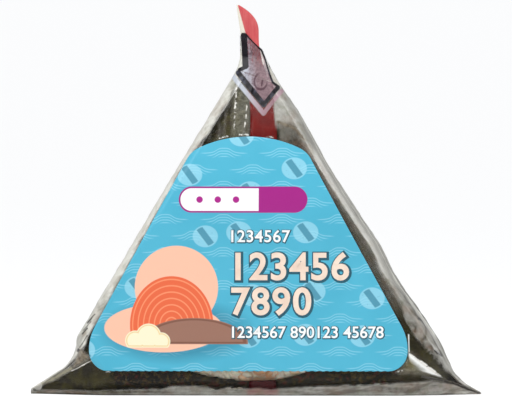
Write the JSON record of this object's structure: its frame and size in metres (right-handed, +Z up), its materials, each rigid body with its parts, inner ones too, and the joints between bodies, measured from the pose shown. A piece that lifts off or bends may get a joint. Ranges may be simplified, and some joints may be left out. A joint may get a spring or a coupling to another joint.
{
  "type": "wrapped onigiri rice ball",
  "caption": "Triangular rice ball with nori in clear film, with film ears at its foot, a red tear tape with a pull tab and a blue front label",
  "frame": {"origin": "middle of the base, on the surface that the pack stands on", "axes": "+X to the right from one film ear to the other, +Y from the labelled front to the back, +Z up to the pull tab"},
  "size_m": [0.104, 0.0307, 0.0896],
  "materials": {
    "clear_film": "gloss",
    "label_print": "satin",
    "red_tape": "gloss",
    "nori": "satin",
    "cooked_rice": "satin"
  },
  "bodies": {
    "root": {"wrapper": "clear_film", "label": "label_print", "tear_tape": "red_tape"}
  },
  "joints": []
}
